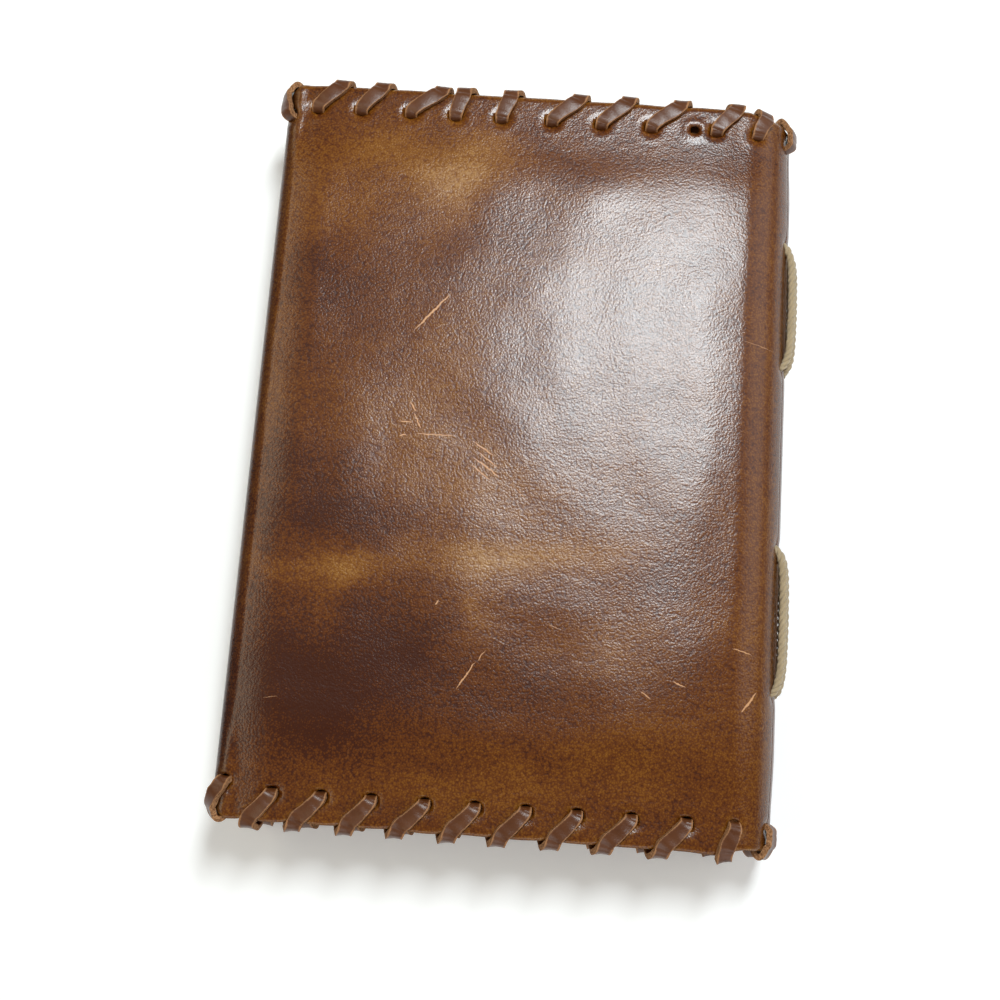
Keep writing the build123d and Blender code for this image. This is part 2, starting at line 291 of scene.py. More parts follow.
def outline_shift(place, y):
    """Small wander of the head and tail edges between the stitches."""
    edge = half_height - abs(y)
    wander = 0.15 + 0.35 * noise.noise(Vector((place / 9, math.copysign(4.0, y), 0)))
    for hole in lacing_holes:
        if hole.end * y > 0 and abs(hole.over - place) < 5:
            wander -= 0.38 * bump(hole.over - place, 2.0)
    wander -= 1.5 * smooth((abs(place) - roll_start) / 4.5)
    wander -= 1.2 * smooth((face_start + 2 - abs(place)) / 9)
    return wander * smooth(1 - edge / 5)


def skin(place, y, height=0.0):
    """Point of the outer face, or at a height over it, as a vector in millimetres."""
    point, outward = half_route.at(abs(place))
    held_y = min(half_height, max(-half_height, y))
    lift = height - sink(place, held_y)
    point = point + outward * lift
    z = point.y if place >= 0 else thickness - point.y
    end = math.copysign(1, y)
    return Vector((point.x, y + end * outline_shift(place, held_y), z))


# ======================================================================
# Making pieces
# ======================================================================

def grid_piece(across_cuts, along_cuts):
    """A flat grid whose columns and rows stand at the given places."""
    mesh = bmesh.new()
    columns = len(across_cuts) - 1
    ranks = len(along_cuts) - 1
    bmesh.ops.create_grid(mesh, x_segments=columns, y_segments=ranks, size=0.5)
    for vertex in mesh.verts:
        column = round((vertex.co.x + 0.5) * columns)
        rank = round((vertex.co.y + 0.5) * ranks)
        vertex.co = Vector((across_cuts[column], along_cuts[rank], 0))
    return mesh


def even_cuts(start, end, step):
    """Places from start to end, about a step apart."""
    count = max(1, round(abs(end - start) / step))
    return [start + (end - start) * number / count for number in range(count + 1)]


def joined_cuts(*runs):
    """Several runs of places end to end."""
    places = list(runs[0])
    for run in runs[1:]:
        places += run[1:]
    return places


def unwrap(mesh, scale=MM):
    """Keeps the flat places as the texture map, in metres."""
    layer = mesh.loops.layers.uv.new("flat")
    for face in mesh.faces:
        for corner in face.loops:
            corner[layer].uv = (corner.vert.co.x * scale, corner.vert.co.y * scale)


def punch(mesh, place, y, radius):
    """Cuts one round hole in a flat grid."""
    inside = [
        face for face in mesh.faces
        if (face.calc_center_median().xy - Vector((place, y))).length < radius
    ]
    bmesh.ops.delete(mesh, geom=inside, context="FACES")
    for vertex in mesh.verts:
        offset = vertex.co.xy - Vector((place, y))
        if vertex.is_boundary and offset.length < radius * 1.7:
            vertex.co.xy = Vector((place, y)) + offset.normalized() * radius


def make_piece(name, mesh, materials, smooth_shading=True):
    """Turns a mesh in millimetres into an object of the scene."""
    bmesh.ops.scale(mesh, vec=(MM, MM, MM), verts=mesh.verts)
    data = bpy.data.meshes.new(name)
    mesh.to_mesh(data)
    mesh.free()
    piece = bpy.data.objects.new(name, data)
    bpy.context.scene.collection.objects.link(piece)
    for material in materials:
        data.materials.append(material)
    for polygon in data.polygons:
        polygon.use_smooth = smooth_shading
    return piece


def thicken(piece, amount, offset, rim=1, inner=0):
    """Gives a sheet its thickness; the rim and the inner face take their own materials."""
    solid = piece.modifiers.new("thickness", "SOLIDIFY")
    solid.thickness = amount * MM
    solid.offset = offset
    solid.use_even_offset = False
    solid.material_offset_rim = rim
    solid.material_offset = inner
    return solid


def round_edges(piece, width, segments=2, angle=50):
    """Rounds the sharp edges of a piece."""
    bevel = piece.modifiers.new("round", "BEVEL")
    bevel.width = width * MM
    bevel.segments = segments
    bevel.limit_method = "ANGLE"
    bevel.angle_limit = math.radians(angle)
    bevel.harden_normals = False
    return bevel


# Places on the back face in millimetres from its middle: centre, half sizes, turn, strength.
PATCHES = (
    (-19, 65, 8, 13, -30, 0.36),
    (-33, 71, 26, 9, 2, 0.28),
    (-47, 54, 12, 10, 0, 0.16),
    (-28, 6, 22, 10, 6, 0.18),
    (-8, -12, 20, 11, 0, 0.26),
    (-14, 26, 9, 20, -20, 0.16),
    (4, -26, 24, 4.6, 6, 0.46),
    (-38, -31, 9, 4.2, 8, 0.36),
    (-51, -31, 14, 3.6, -4, 0.16),
    (-41, -39, 2.6, 6, -18, 0.20),
    (-6, -39, 4.5, 10, -6, 0.24),
    (21, -46, 15, 9, 10, 0.18),
    (48, -37, 9, 12, 0, 0.10),
    (34, -64, 22, 8, 6, 0.10),
    (-10, -80, 40, 5, 2, 0.12),
    (-42, -58, 24, 17, 8, -0.40),
    (-49, -10, 12, 15, 0, -0.20),
    (-28, -19, 24, 6, 4, -0.16),
    (-22, -46, 9, 6, 20, -0.14),
    (6, -56, 16, 9, 0, -0.14),
    (38, -30, 14, 5, 12, -0.10),
    (-47, 38, 11, 11, 0, -0.16),
    (-4, 44, 8, 18, -10, -0.08),
    # Painted shade: darker band along the head margin, where the leather slopes away from the light.
    (36, 78, 32, 6, -4, -0.12),
    # Painted shade: dark strip along the start of the fore-edge roll, lower half.
    (-59, -40, 4, 46, -3, -0.12),
)
# Scratches: start, end, half width and strength.
SCRATCHES = (
    ((-18.1, 37.3), (-27.9, 25.3), 0.34, 1.0),
    ((-26.7, 9.3), (-24.6, 6.2), 0.26, 1.0),
    ((-25.6, 6.6), (-23.2, 2.2), 0.24, 1.0),
    ((-29.0, 3.9), (-24.8, 4.0), 0.24, 0.8),
    ((-28.4, 0.4), (-26.6, 0.9), 0.30, 1.0),
    ((-25.6, 1.2), (-13.9, 1.3), 0.20, 0.85),
    ((-11.6, 0.6), (-5.2, -3.4), 0.24, 1.0),
    ((-10.2, -1.8), (-4.0, -6.2), 0.22, 0.9),
    ((-11.2, -3.2), (-3.4, -8.4), 0.24, 1.0),
    ((-11.5, -4.9), (-5.6, -9.4), 0.22, 0.9),
    ((-6.2, -50.2), (-10.9, -57.9), 0.24, 1.0),
    ((-4.4, -47.8), (-6.4, -51.0), 0.18, 0.7),
    ((-15.9, -37.3), (-16.8, -38.8), 0.22, 0.8),
    ((57.7, -52.7), (53.4, -58.5), 0.36, 1.0),
    ((50.5, -43.6), (56.5, -45.0), 0.22, 0.8),
    ((37.5, -52.0), (41.5, -53.6), 0.22, 0.8),
    ((30.5, -54.6), (33.6, -56.8), 0.22, 0.7),
    ((49.0, 29.5), (60.5, 27.5), 0.18, 0.5),
    ((40.5, 20.0), (47.0, 18.4), 0.16, 0.4),
    ((-54.6, -62.4), (-49.6, -61.4), 0.14, 0.5),
    ((-2.5, -8.0), (4.0, -14.5), 0.18, 0.5),
    ((8.0, -41.0), (13.5, -42.6), 0.16, 0.5),
)


# ======================================================================
# Materials
# ======================================================================

class Value:
    """A shader number or colour that can be added, multiplied and compared like a number."""

    def __init__(self, shader, socket):
        self.shader = shader
        self.socket = socket

    def math(self, operation, other=0.0, clamp=False):
        node = self.shader.node("ShaderNodeMath", operation=operation, use_clamp=clamp)
        self.shader.feed(node.inputs[0], self)
        self.shader.feed(node.inputs[1], other)
        return Value(self.shader, node.outputs[0])

    def __add__(self, other):
        return self.math("ADD", other)

    def __radd__(self, other):
        return self.math("ADD", other)

    def __sub__(self, other):
        return self.math("SUBTRACT", other)

    def __rsub__(self, other):
        return (self * -1.0) + other

    def __mul__(self, other):
        return self.math("MULTIPLY", other)

    def __rmul__(self, other):
        return self.math("MULTIPLY", other)

    def clamp(self):
        return self.math("ADD", 0.0, clamp=True)


class Shader:
    """A material and the few ways its nodes are made."""

    def __init__(self, name, roughness, specular=0.5, sheen=0.0):
        self.material = bpy.data.materials.new(name)
        self.material.use_nodes = True
        self.tree = self.material.node_tree
        self.surface = self.tree.nodes["Principled BSDF"]
        self.surface.inputs["Roughness"].default_value = roughness
        self.surface.inputs["Specular IOR Level"].default_value = specular
        self.surface.inputs["Sheen Weight"].default_value = sheen
        self.height = None

    def node(self, kind, inputs=(), **settings):
        made = self.tree.nodes.new(kind)
        for setting, value in settings.items():
            setattr(made, setting, value)
        for name, value in dict(inputs).items():
            self.feed(made.inputs[name], value)
        return made

    def feed(self, socket, value):
        if isinstance(value, Value):
            self.tree.links.new(value.socket, socket)
        elif isinstance(value, bpy.types.NodeSocket):
            self.tree.links.new(value, socket)
        else:
            socket.default_value = value

    def flat_map(self):
        """Places on the unrolled piece, in metres."""
        return self.node("ShaderNodeUVMap", uv_map="flat").outputs["UV"]

    def object_map(self):
        return self.node("ShaderNodeTexCoord").outputs["Object"]

    def stretched(self, places, stretch=(1, 1, 1), turn=0.0, shift=(0, 0, 0)):
        """Places scaled, turned about Z, and shifted."""
        inputs = {"Vector": places, "Scale": stretch, "Location": shift, "Rotation": (0, 0, turn)}
        return self.node("ShaderNodeMapping", inputs).outputs[0]

    def noise(self, places, size, detail=4.0, rough=0.5, twist=0.0):
        """Cloudy noise whose features are about size millimetres across."""
        inputs = {
            "Vector": places, "Scale": 1 / (size * MM), "Detail": detail,
            "Roughness": rough, "Distortion": twist,
        }
        return Value(self, self.node("ShaderNodeTexNoise", inputs).outputs["Fac"])

    def cells(self, places, size, feature="F1", smoothness=0.4, randomness=1.0):
        """Distance within cells about size millimetres across."""
        inputs = {"Vector": places, "Scale": 1 / (size * MM), "Randomness": randomness}
        if feature == "SMOOTH_F1":
            inputs["Smoothness"] = smoothness
        node = self.node("ShaderNodeTexVoronoi", inputs, feature=feature)
        return Value(self, node.outputs["Distance"])

    def attribute(self, name):
        return Value(self, self.node("ShaderNodeAttribute", attribute_name=name).outputs["Fac"])

    def ramp(self, value, low, high):
        """0 below low, 1 above high, smooth between."""
        inputs = {"Value": value, "From Min": low, "From Max": high}
        node = self.node("ShaderNodeMapRange", inputs, interpolation_type="SMOOTHSTEP")
        return Value(self, node.outputs["Result"])

    def blend(self, factor, first, second, mode="MIX"):
        """Colour that goes from first to second with the factor."""
        node = self.node("ShaderNodeMix", data_type="RGBA", blend_type=mode, clamp_factor=True)
        self.feed(node.inputs[0], factor)
        self.feed(node.inputs[6], first)
        self.feed(node.inputs[7], second)
        return Value(self, node.outputs[2])

    def colour(self, value):
        self.feed(self.surface.inputs["Base Color"], value)

    def roughness(self, value):
        self.feed(self.surface.inputs["Roughness"], value)

    def relief(self, height, depth):
        """Bump of a depth in millimetres."""
        inputs = {"Height": height, "Distance": depth * MM, "Strength": 1.0}
        if self.height is not None:
            inputs["Normal"] = self.height
        self.height = self.node("ShaderNodeBump", inputs).outputs["Normal"]
        self.feed(self.surface.inputs["Normal"], self.height)


def rgb(red, green, blue):
    """Screen colour, 0 to 255, as the shader's linear colour."""
    parts = [part / 255 for part in (red, green, blue)]
    linear = [part / 12.92 if part <= 0.04045 else ((part + 0.055) / 1.055) ** 2.4 for part in parts]
    return (*linear, 1.0)


def leather_grain(shader, places, depth=0.05):
    """Fine pebble grain with pores."""
    pebbles = shader.cells(places, 0.50, "SMOOTH_F1", 0.35)
    fine = shader.noise(places, 0.30, 3.0, 0.65)
    shader.relief((1 - pebbles) + fine * 0.6, depth)
    return pebbles, fine


def scratch_marks(shader, places, fine):
    """Thin tapered scratches, each a long narrow oval in its own frame."""
    wander = shader.node("ShaderNodeTexNoise", {"Vector": places, "Scale": 900.0, "Detail": 2.0})
    drift_inputs = {0: wander.outputs["Color"], 1: (0.0006, 0.0006, 0)}
    shake = shader.node("ShaderNodeVectorMath", drift_inputs, operation="MULTIPLY")
    moved = shader.node(
        "ShaderNodeVectorMath", {0: places, 1: shake.outputs[0]}, operation="ADD"
    ).outputs[0]
    marks = None
    for start, end, width, strength in SCRATCHES:
        first = Vector((across(start[0]), start[1])) * MM
        last = Vector((across(end[0]), end[1])) * MM
        middle = (first + last) / 2 + Vector((0.0003, 0.0003))
        run = last - first
        inputs = {
            "Vector": moved, "Location": (middle.x, middle.y, 0),
            "Rotation": (0, 0, math.atan2(run.y, run.x)),
            "Scale": (run.length / 2 * 1.15, width * MM, 1),
        }
        local = shader.node("ShaderNodeMapping", inputs, vector_type="TEXTURE").outputs[0]
        reach = shader.node("ShaderNodeVectorMath", {0: local}, operation="LENGTH").outputs["Value"]
        mark = shader.ramp(Value(shader, reach), 1.0, 0.35) * strength
        marks = mark if marks is None else marks.math("MAXIMUM", mark)
    return shader.ramp(marks * (0.45 + fine * 1.1), 0.25, 0.75)


def cover_leather_material():
    """Waxed pull-up cowhide: pebbled, mottled, scratched, lighter where it was stretched, with painted
    highlights on the bends and painted shade in the holes, under the thongs, along the roll and toward
    the spine.
    """
    shader = Shader("cognac_pull_up_leather", 0.24, 0.5)
    places = shader.flat_map()
    cloud = shader.noise(places, 30, 5, 0.6, 0.5)
    drift = shader.noise(shader.stretched(places, (1, 2.0, 1), 0.35), 12, 5, 0.62, 0.8)
    speck = shader.noise(places, 1.1, 3, 0.7)
    pebbles, fine = leather_grain(shader, places, grain_depth)
    light = shader.attribute("pull_up_and_highlight") + (cloud - 0.5) * 0.34 + (drift - 0.5) * 0.40
    light = light + (speck - 0.5) * 0.50 + (0.42 - pebbles) * 0.55 + (fine - 0.5) * 0.75
    tone = shader.blend(shader.ramp(light, 0.0, 0.34), rgb(61, 23, 3), rgb(94, 47, 7))
    tone = shader.blend(shader.ramp(light, 0.30, 0.64), tone, rgb(122, 73, 17))
    tone = shader.blend(shader.ramp(light, 0.60, 1.05), tone, rgb(155, 108, 45))
    # Painted shade: darker in the holes, under the thongs, along the fore-edge roll and toward the
    # spine.
    painted_shade = shader.attribute("painted_shade")
    tone = shader.blend((painted_shade * 0.9).clamp(), tone, rgb(34, 13, 5))
    frayed = scratch_marks(shader, places, fine)
    tone = shader.blend(frayed * 0.85, tone, rgb(214, 160, 112))
    hairs = shader.noise(shader.stretched(places, (14, 0.7, 1), 0.9), 9, 2, 0.6)
    tone = shader.blend(shader.ramp(hairs, 0.70, 0.80) * 0.30, tone, rgb(170, 116, 70))
    shader.colour(tone)
    matte = shader.ramp(light, 0.55, 1.0)
    shader.roughness((0.21 + matte * 0.06 + pebbles * 0.06 + frayed * 0.30).clamp())
    wrinkles = shader.noise(shader.stretched(places, (1, 1.5, 1), 0.2), 5, 4, 0.55, 0.8)
    shader.relief(wrinkles, 0.06)
    return shader.material


def raw_edge_material(name, dark, pale):
    """Cut leather edge: lighter and fibrous."""
    shader = Shader(name, 0.85, 0.2)
    places = shader.object_map()
    fibres = shader.noise(shader.stretched(places, (1, 1, 3)), 0.5, 4, 0.7)
    shader.colour(shader.blend(shader.ramp(fibres, 0.3, 0.7), dark, pale))
    shader.relief(fibres, 0.15)
    return shader.material


def flesh_side_material():
    """The suede back of the leather."""
    shader = Shader("leather_flesh_side", 0.9, 0.25, 0.25)
    places = shader.flat_map()
    nap = shader.noise(places, 0.5, 5, 0.7)
    cloud = shader.noise(places, 14, 4, 0.6)
    shader.colour(shader.blend(cloud * 0.7 + nap * 0.3, rgb(112, 68, 38), rgb(156, 106, 66)))
    shader.relief(nap, 0.12)
    return shader.material


def lace_material():
    """Flat thong: smooth grain face, waxed, with fibre showing at the bends."""
    shader = Shader("leather_lace", 0.30, 0.5)
    places = shader.object_map()
    cloud = shader.noise(places, 5, 4, 0.6)
    fine = shader.noise(places, 0.4, 4, 0.65)
    worn = shader.attribute("worn")
    mottled = shader.blend((cloud * 0.7 + fine * 0.4).clamp(), rgb(58, 25, 9), rgb(108, 62, 28))
    fibre = shader.ramp(worn * (0.5 + fine), 0.45, 0.85)
    shader.colour(shader.blend(fibre, mottled, rgb(160, 112, 70)))
    shader.roughness((0.34 + fibre * 0.4 + (cloud - 0.5) * 0.15).clamp())
    shader.relief(fine, 0.05)
    return shader.material


def cord_material():
    """Undyed cotton cord: fuzzy, with a cloudy tone."""
    shader = Shader("twisted_cotton_cord", 0.95, 0.2, 0.35)
    places = shader.object_map()
    fuzz = shader.noise(places, 0.22, 5, 0.75)
    cloud = shader.noise(places, 3, 3, 0.6)
    shader.colour(shader.blend((fuzz * 0.6 + cloud * 0.5).clamp(), rgb(118, 98, 70), rgb(202, 182, 148)))
    shader.relief(fuzz, 0.14)
    return shader.material


def paper_material(name, face):
    """Cream cotton paper; the fore-edge shows its leaves."""
    shader = Shader(name, 0.92, 0.2)
    places = shader.object_map()
    tooth = shader.noise(places, 0.3, 5, 0.7)
    cloud = shader.noise(places, 18, 4, 0.6)
    flecks = shader.ramp(shader.noise(places, 0.9, 2, 0.8), 0.68, 0.80)
    toned = shader.blend((cloud * 0.8 + tooth * 0.2).clamp(), face[0], face[1])
    shader.colour(shader.blend(flecks * 0.35, toned, rgb(186, 164, 128)))
    shader.relief(tooth, 0.05)
    return shader.material


def card_material():
    """Grey board with pressed fibres."""
    shader = Shader("grey_card", 0.9, 0.2)
    places = shader.object_map()
    fibres = shader.noise(places, 0.8, 5, 0.75)
    shader.colour(shader.blend(fibres, rgb(118, 108, 94), rgb(168, 158, 140)))
    shader.relief(fibres, 0.08)
    return shader.material


def floor_material():
    """Plain pale floor."""
    shader = Shader("pale_floor", 0.9, 0.1)
    shader.surface.inputs["Emission Color"].default_value = (1, 1, 1, 1)
    shader.surface.inputs["Emission Strength"].default_value = 0.14
    shader.colour(rgb(250, 250, 250))
    return shader.material


grain = cover_leather_material()
raw_edge = raw_edge_material("raw_leather_edge", rgb(58, 30, 14), rgb(128, 82, 48))
lace_edge = raw_edge_material("raw_lace_edge", rgb(84, 48, 26), rgb(186, 138, 96))
flesh = flesh_side_material()
lace_face = lace_material()
cotton = cord_material()
paper = paper_material("cream_paper", (rgb(226, 214, 188), rgb(242, 234, 214)))
paper_edge = paper_material("paper_edge", (rgb(196, 178, 144), rgb(228, 214, 184)))
card = card_material()


# ======================================================================
# The leather
# ======================================================================

def patch(x, y, spot):
    """Strength of one soft oval patch."""
    centre_x, centre_y, half_x, half_y, turn, strength = spot
    angle = math.radians(turn)
    dx = x - centre_x
    dy = y - centre_y
    along = (dx * math.cos(angle) + dy * math.sin(angle)) / half_x
    aside = (dy * math.cos(angle) - dx * math.sin(angle)) / half_y
    return strength * math.exp(-(along * along + aside * aside))


def paint(mesh):
    """Marks where the flat sheet is lighter, from pull-up and painted highlights, and where painted
    shade darkens it.
    """
    lighter = mesh.verts.layers.float.new("pull_up_and_highlight")
    painted_shade_layer = mesh.verts.layers.float.new("painted_shade")
    for vertex in mesh.verts:
        place, y = vertex.co.xy
        x = spine_centre_x + face_start - abs(place)
        warp = Vector((x / 15, y / 15, 0))
        warped_x = x + 4 * noise.noise(warp) + 2.4 * noise.noise(warp * 3)
        warped_y = y + 3 * noise.noise(warp + Vector((7, 3, 1))) + 1.6 * noise.noise(warp * 3.3)
        edge = half_height - abs(y)
        light = plain_light
        painted_shade = 0.0
        if place > 0:
            light += sum(patch(warped_x, warped_y, spot) for spot in PATCHES)
        # Lighter bands on the spine curve and on the fore-edge roll: pull-up where the leather bends,
        # and a painted highlight where the curve catches the light.
        if abs(place) < face_start:
            light += 0.10 * bump(abs(place) - face_start * 0.6, 6)
        roll_turn = abs(abs(place) - roll_start - roll_radius * 0.5)
        light += 0.10 * bump(roll_turn, 3)
        for hole in all_holes:
            if abs(hole.place - place) > 8 or hole.end * y < 0:
                continue
            away = math.hypot(place - hole.place, y - hole.y)
            # Lighter rims round each hole: pull-up where punched, and a painted highlight on the
            # fore-edge side.
            side = 0.5 + 0.5 * math.copysign(1, hole.place) * math.copysign(1, place - hole.place)
            ragged = 0.5 + noise.noise(Vector((place * 0.9, y * 0.9, 2)))
            light += (0.10 + 0.30 * side) * ragged * bump(away - hole.radius - 0.4, 0.6)
            # Painted shade in the mouth of each hole.
            painted_shade += 0.75 * bump(away, hole.radius * 0.75)
            run = min(1.0, max(0.0, 1 - edge / hole.inset))
            strap = hole.place + (hole.over - hole.place) * run
            if edge < hole.inset and hole is not spare:
                # Painted shade where the thong lies over the leather.
                painted_shade += 0.45 * bump(place - strap, 1.9)
                light += 0.30 * ragged * bump(abs(place - strap) - 2.6, 0.6)
        light += 0.35 * bump(edge, 0.6)
        # Painted shade along the fore-edge roll as it turns away, and toward the spine.
        painted_shade += roll_shade * smooth((abs(place) - roll_start - 0.4) / 2.6)
        painted_shade += spine_shade * smooth((face_start - 7 - abs(place)) / 6)
        vertex[lighter] = light
        vertex[painted_shade_layer] = painted_shade


def shape_sheet(mesh):
    """Wraps a flat grid round the roll and the spine."""
    for vertex in mesh.verts:
        vertex.co = skin(vertex.co.x, vertex.co.y)


margin_cuts = even_cuts(-half_height, -flat_half, margin_step)
centre_cuts = even_cuts(-flat_half, flat_half, centre_step)
along_cuts = joined_cuts(margin_cuts, centre_cuts, [-cut for cut in reversed(margin_cuts)])


def leather_piece(name, start, end, fine=skin_step):
    """One stretch of the sheet, from one distance across to another."""
    if end > flap_start:
        across_cuts = joined_cuts(
            even_cuts(start, flap_start, fine), even_cuts(flap_start, flap_end, flap_step)
        )
    elif start < -flap_start:
        across_cuts = joined_cuts(
            even_cuts(-flap_end, -flap_start, flap_step), even_cuts(-flap_start, end, fine)
        )
    else:
        across_cuts = even_cuts(start, end, fine)
    mesh = grid_piece(across_cuts, along_cuts)
    low = min(start, end)
    high = max(start, end)
    for hole in all_holes:
        if low < hole.place < high:
            punch(mesh, hole.place, hole.y, hole.radius)
    unwrap(mesh)
    paint(mesh)
    shape_sheet(mesh)
    bmesh.ops.recalc_face_normals(mesh, faces=mesh.faces)
    probe = min(
        mesh.faces,
        key=lambda face: abs(face.calc_center_median().y) - face.calc_center_median().x,
    )
    outward = Vector((1, 0, 0)) if probe.calc_center_median().x > 40 else Vector((0, 0, 1))
    if probe.normal.dot(outward) < 0:
        bmesh.ops.reverse_faces(mesh, faces=mesh.faces)
    piece = make_piece(name, mesh, [grain, raw_edge, flesh])
    thicken(piece, leather, -1, 1, 2)
    return piece


def between(first, second):
    """Two points in metres, half a leather's thickness under the outer face, at two places across."""
    ends = []
    for place in (first, second):
        ends.append(skin(place, 0, -leather / 2) * MM)
    return ends


back_leather = leather_piece("cover_back", strip_middle(4), flap_end)
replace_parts(back_leather, "back_cover_leather")
front_leather = leather_piece("cover_front", -flap_end, strip_middle(1))
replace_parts(front_leather, "front_cover_leather")
shoulder_place = spine_radius * math.asin(0.92)
start, end = between(strip_middle(4), shoulder_place)
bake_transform(back_leather)
start, end = between(-shoulder_place, strip_middle(1))
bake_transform(front_leather)
for number in (1, 2, 3):
    low_edge = strip_middle(number)
    high_edge = strip_middle(number + 1)
    strip = leather_piece(f"spine_{number}_{number + 1}", low_edge, high_edge, spine_step)
    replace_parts(strip, f"spine_leather_{number}", f"spine_leather_{number + 1}")
    start, end = between(low_edge, high_edge)
    f"text_{number + 1}"
    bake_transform(strip)


# ======================================================================
# The lacing
# ======================================================================

def curve_through(points, steps):
    """A smooth run through points, each a tuple of numbers."""
    made = []
    last = len(points) - 1
    for number in range(last):
        before = points[max(0, number - 1)]
        first = points[number]
        second = points[number + 1]
        after = points[min(last, number + 2)]
        for step in range(steps):
            t = step / steps
            made.append(tuple(
                0.5 * (2 * b + (c - a) * t + (2 * a - 5 * b + 4 * c - d) * t ** 2
                       + (3 * b - a - 3 * c + d) * t ** 3)
                for a, b, c, d in zip(before, first, second, after)
            ))
    made.append(tuple(points[last]))
    return made


def stitch_points(hole, back_place, opens, ends):
    """Route of one stitch: place across, place along, height, width and how far it is bent."""
    end = hole.end
    edge = end * half_height
    rise = lace_thickness / 2
    under = -hole.stack - rise
    lean = hole.over - hole.place
    carry = (back_place - hole.over) * 0.12
    squeezed = 2 * hole.radius - 0.4
    inside = hole.y
    jitter = 0.12 * noise.noise(Vector((hole.place / 3, hole.y, 1)))
    points = []
    if opens:
        points.append((hole.place, inside, under * 0.9, squeezed, 0))
    loose = 0.7 * hole.loose
    points += [
        (hole.place, inside - end * 0.5, -hole.stack * 0.45, squeezed, 0),
        (hole.place + lean * 0.02, inside - end * 0.35, rise * 0.4, squeezed + 0.1, 1),
        (hole.place + lean * 0.07, inside + end * 0.45, rise + 0.50 + jitter + loose, 3.2, 0.8),
        (hole.place + lean * 0.26, inside + end * 1.7, rise + 0.40 + loose, lace_width, 0.3),
        (hole.place + lean * 0.54, inside + end * 3.4, rise + 0.22 + loose, lace_width, 0),
        (hole.place + lean * 0.85, edge - end * 0.7, rise + 0.12 + loose, lace_width, 0.1),
        (hole.over, edge + end * (1.25 + loose * 0.6), 0.05, lace_width, 1),
        (hole.over + carry, edge + end * (rise + 1.05 + loose), -hole.stack * 0.5, lace_width, 0),
        (hole.over + carry * 1.6, edge + end * 0.9, -hole.stack - 0.15, lace_width, 1),
        (hole.over + (back_place - hole.over) * 0.3, edge - end * 1.2, under, lace_width, 0),
        (hole.over + (back_place - hole.over) * 0.75, inside + end * 1.7, under, lace_width, 0),
    ]
    if ends:
        points.append((back_place, inside + end * 0.2, under + 0.2, squeezed + 0.3, 0))
    return points


def ribbon(name, points, body):
    """A flat thong laid along a route of places on the leather."""
    route = curve_through(points, 7)
    middle = [skin(*point[:3]) for point in route]
    across_steps = (-0.5, -0.34, 0.0, 0.34, 0.5)
    mesh = grid_piece(list(range(len(route))), list(range(len(across_steps))))
    worn = mesh.verts.layers.float.new("worn")
    count = len(route)
    sideways = []
    widths = []
    for number, point in enumerate(route):
        ahead = route[min(count - 1, number + 3)]
        behind = route[max(0, number - 3)]
        flat = Vector((ahead[0] - behind[0], ahead[1] - behind[1]))
        lie = skin(point[0] + 0.5, point[1]) - skin(point[0] - 0.5, point[1])
        along_book = Vector((0, 1, 0))
        level = abs(flat.y) / (flat.length + 0.6) if flat.length > 0.01 else 0
        near_edge = smooth((abs(point[1]) - half_height + 4.5) / 4)
        widths.append(point[3] * (1 + near_edge * 0.10))
        tilt = flat.x * level / max(0.35, flat.length) * (1 - 0.85 * near_edge)
        side = lie.normalized() - along_book * tilt * math.copysign(1, flat.y if flat.y else 1)
        run = middle[min(count - 1, number + 1)] - middle[max(0, number - 1)]
        run.normalize()
        side -= run * side.dot(run)
        sideways.append(side.normalized())
    for _ in range(2):
        sideways = [
            (sideways[max(0, n - 1)] + sideways[n] * 2 + sideways[min(count - 1, n + 1)]).normalized()
            for n in range(count)
        ]
    for vertex in mesh.verts:
        number = round(vertex.co.x)
        step = across_steps[round(vertex.co.y)]
        run = (middle[min(count - 1, number + 1)] - middle[max(0, number - 1)]).normalized()
        facing = run.cross(sideways[number])
        ragged = 1 + 0.05 * noise.noise(middle[number] * 1.1 + Vector((0, 0, step * 4)))
        crown = 0.14 * (1 - (2 * step) ** 2)
        vertex.co = middle[number] + sideways[number] * (step * widths[number] * ragged) + facing * crown
        rim = 1.0 if abs(step) > 0.45 else 0.25 if abs(step) > 0.3 else 0.0
        vertex[worn] = min(1.0, 0.30 * route[number][4] + rim * 0.75)
    bmesh.ops.recalc_face_normals(mesh, faces=mesh.faces)
    piece = make_piece(name, mesh, [lace_face, lace_edge])
    thicken(piece, lace_thickness, 0, 1)
    round_edges(piece, 0.28, 3)
    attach(piece, body)
    return piece


def lace_body(name):
    """The body that a lace rides on."""
    if "spine" in name:
        return "text_4" if name.endswith("back") else "text_1"
    return "back_cover" if name.endswith("back") else "front_cover"


for name, holes in rows.items():
    points = []
    for number, hole in enumerate(holes):
        last = number == len(holes) - 1
        back_place = hole.place if last else holes[number + 1].place
        points += stitch_points(hole, back_place, number == 0, last)
    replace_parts(ribbon(name + "_thong", points, lace_body(name)), name)
for name, hole in singles.items():
    points = stitch_points(hole, hole.place, True, True)
    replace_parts(ribbon(name + "_thong", points, lace_body(name)), name)


# ======================================================================
# The sewing cord
# ======================================================================

def spine_surface_x(height):
    """Outer face of the spine at a height."""
    return spine_centre_x + math.sqrt(spine_radius ** 2 - (height - spine_radius) ** 2)


